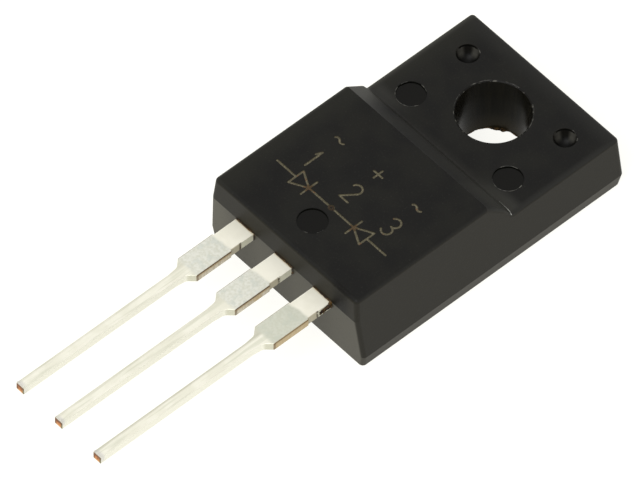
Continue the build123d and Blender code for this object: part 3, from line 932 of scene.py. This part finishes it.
flake_lines = (
    ((0, LEAD_TOP - 0.06), (0.30, LEAD_TOP - 0.10), (0.62, 3.02)),
    ((0, 3.03), (0.35, 3.00), (0.70, 2.96)),
    ((0, 2.92), (0.30, 2.90), (0.50, 2.88)),
)
flake_x = LEAD_PITCH + NECK_HALF
flakes = [[(flake_x, FRONT_Y - along, height) for along, height in line] for line in flake_lines]
flake_bead = {"radius": 0.07, "swell": 0.2, "unevenness": 0.8, "least": 0.2}
bead_piece("root_flake", flakes, resin, "epoxy", seed=6, **flake_bead)

burr_bead = {"radius": 0.02, "swell": 0.15, "unevenness": 1.2, "least": 0.1}
burrs = [[(mx + cx, TIP_Y + 0.05, LEAD_TOP) for cx in (-TIP_HALF, 0, TIP_HALF)] for mx in lead_middles]
bead_piece("tip_burrs", burrs, tin, "tinned_copper", seed=14, **burr_bead)

# %% [markdown]
# Rings that line the screw hole
#
# Two thin things line the hole. Its wall was formed on a polished core pin, so it is a smooth, dark, shiny
# skin where the outside is matte. At the bottom, where the pin met the mould's floor, a ragged brown skin was
# left and mostly broken away. A cylinder could stand in for the wall, but not for its taper or for the
# ragged edge. Both are a closed section carried round the hole, so one function builds them, and the section
# may change with the angle.

# %% Ring helper
RING_STEPS = 240


def lined_ring(name, section_at, finish, smooth):
    """Carries a closed section of (radius, height) pairs in millimetres round the hole."""
    points, faces = [], []
    for i in range(RING_STEPS):
        degrees = 360 * i / RING_STEPS
        a = math.radians(degrees)
        section = section_at(degrees)
        points += [Vector((r * math.cos(a), r * math.sin(a), h)) * MM for r, h in section]
        count = len(section)
        here, there = count * i, count * ((i + 1) % RING_STEPS)
        after = [(k + 1) % count for k in range(count)]
        faces += [(here + k, here + after[k], there + after[k], there + k) for k in range(count)]
    mesh = bpy.data.meshes.new(name)
    mesh.from_pydata(points, [], faces)
    shape = bmesh.new()
    shape.from_mesh(mesh)
    bmesh.ops.recalc_face_normals(shape, faces=shape.faces)
    shape.to_mesh(mesh)
    shape.free()
    mesh.polygons.foreach_set("use_smooth", [smooth] * len(mesh.polygons))
    mesh.materials.append(finish)
    piece = new_object(name, mesh)
    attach(piece, "root")
    reach = max(HOLE_RADIUS - point.to_2d().length / MM for point in points)
    print(name, "reaches at most", round(reach, 3), "mm into the hole")


print("a ring's step is", round(2 * math.pi * HOLE_RADIUS / RING_STEPS, 3), "mm long")

# %% Polished wall
SKIN, SKIN_FOOT, HOLD = 0.012, 0.04, 0.01
polished, tree, shader = new_material("pin_polished_epoxy", rough=0.26, specular=0.04)
position, _, _, z = place(tree)
drawn = grain(tree, position, 0.22, 2.0, (1, 1, 0.05))
wall_tone = blend(tree, step_up(tree, drawn, 0.35, 0.7), "#0d0c07", "#15130c")
# Lighter towards the bottom of the hole: painted light from the glowing table below.
wall_tone = blend(tree, step_up(tree, z, 1.3, 0.1), wall_tone, "#242017")
tree.links.new(wall_tone, shader.inputs["Base Color"])
mouth_z = TAB_TOP - HOLE_LIP
wall_section = [
    (HOLE_RADIUS + SKIN, SKIN_FOOT),
    (HOLE_RADIUS - SKIN, SKIN_FOOT),
    (HOLE_RADIUS - SKIN, SKIN_FOOT + HOLD),
    (HOLE_RADIUS - SKIN, HOLE_LAND / 2),
    (HOLE_RADIUS - SKIN, HOLE_LAND),
    ((HOLE_RADIUS + HOLE_MOUTH_RADIUS) / 2 - SKIN, (HOLE_LAND + mouth_z) / 2),
    (HOLE_MOUTH_RADIUS - SKIN, mouth_z - HOLD),
    (HOLE_MOUTH_RADIUS - SKIN, mouth_z),
    (HOLE_MOUTH_RADIUS + SKIN, mouth_z),
    (HOLE_RADIUS + SKIN, HOLE_LAND),
]
lined_ring("hole_wall_skin", lambda degrees: wall_section, polished, True)

# %% Ragged skin at the bottom
random.seed(11)
FLASH_THICKNESS = 0.035
EDGE_LOW, EDGE_HIGH = 0.004, 0.012
LEAST_REACH, RIPPLE, RIPPLES, CHIPS = 0.02, 0.008, 17, 0.018
TONGUES = ((129, 14, 0.13), (117, 4, 0.10), (98, 5, 0.04))


def tongue_at(degrees, centre, width, height):
    """How far a smooth tongue of a given half width round an angle reaches."""
    away = (degrees - centre + 180) % 360 - 180
    return height * math.exp(-((away / width) ** 2))


def flash_section(degrees):
    """A wedge whose sharp edge reaches further in on the side that the photograph shows."""
    reach = sum(tongue_at(degrees, *tongue) for tongue in TONGUES)
    reach += LEAST_REACH + RIPPLE * math.sin(math.radians(degrees * RIPPLES)) + CHIPS * random.random()
    inner, outer = HOLE_RADIUS - reach, HOLE_RADIUS + SKIN
    return [(outer, 0.0), (inner, EDGE_LOW), (inner, EDGE_HIGH), (outer, FLASH_THICKNESS)]


lined_ring("hole_flash", flash_section, resin, False)

# %% [markdown]
# Floor and light
#
# Parts like this are photographed in a white tent on a light table, so light comes from everywhere, even from
# below, and the sides that lean towards the table shine brightest. A few lamps could imitate that, but a
# white world and a pale floor that glows a little are simpler and truer, and one large soft lamp gives the
# metal a direction.

# %% Floor
TABLE_GLOW, HALF_TABLE_M, GAP_MM = 0.86, 1.5, 0.02
table, tree, shader = new_material("pale_table", rough=0.9, specular=0.1)
speck = grain(tree, place(tree)[0], 40.0)
tree.links.new(blend(tree, speck, "#85857f", "#8b8b85"), shader.inputs["Base Color"])
shader.inputs["Emission Color"].default_value = colour("#fffefa")
shader.inputs["Emission Strength"].default_value = TABLE_GLOW
corners = [(sx * HALF_TABLE_M, sy * HALF_TABLE_M) for sx, sy in ((-1, -1), (1, -1), (1, 1), (-1, 1))]
floor_mesh = bpy.data.meshes.new("floor")
floor_mesh.from_pydata([(*corner, -GAP_MM * MM) for corner in corners], [], [(0, 1, 2, 3)])
floor_mesh.materials.append(table)
floor = new_object("floor", floor_mesh)
print("table", GAP_MM, "mm under the back face")

# %% Light
TENT_STRENGTH = 0.80
LAMP_WATTS, LAMP_ACROSS_M = 1.8, 0.35
LAMP_PLACE = Vector((0.10, -0.35, 0.45))
world = bpy.data.worlds.new("white_tent")
world.use_nodes = True
background = world.node_tree.nodes["Background"]
background.inputs["Color"].default_value = colour("#fffdfa")
background.inputs["Strength"].default_value = TENT_STRENGTH
bpy.context.scene.world = world
bpy.context.scene.view_settings.view_transform = "Standard"

lamp_data = bpy.data.lights.new("soft_lamp", "AREA")
lamp_data.shape, lamp_data.size, lamp_data.energy = "DISK", LAMP_ACROSS_M, LAMP_WATTS
lamp = new_object("soft_lamp", lamp_data)
facing_part = LAMP_PLACE.to_track_quat("Z", "Y").to_matrix().to_4x4()
lamp.matrix_world = Matrix.Translation(LAMP_PLACE) @ facing_part
print("lamp", round(LAMP_PLACE.length, 2), "m from the part")
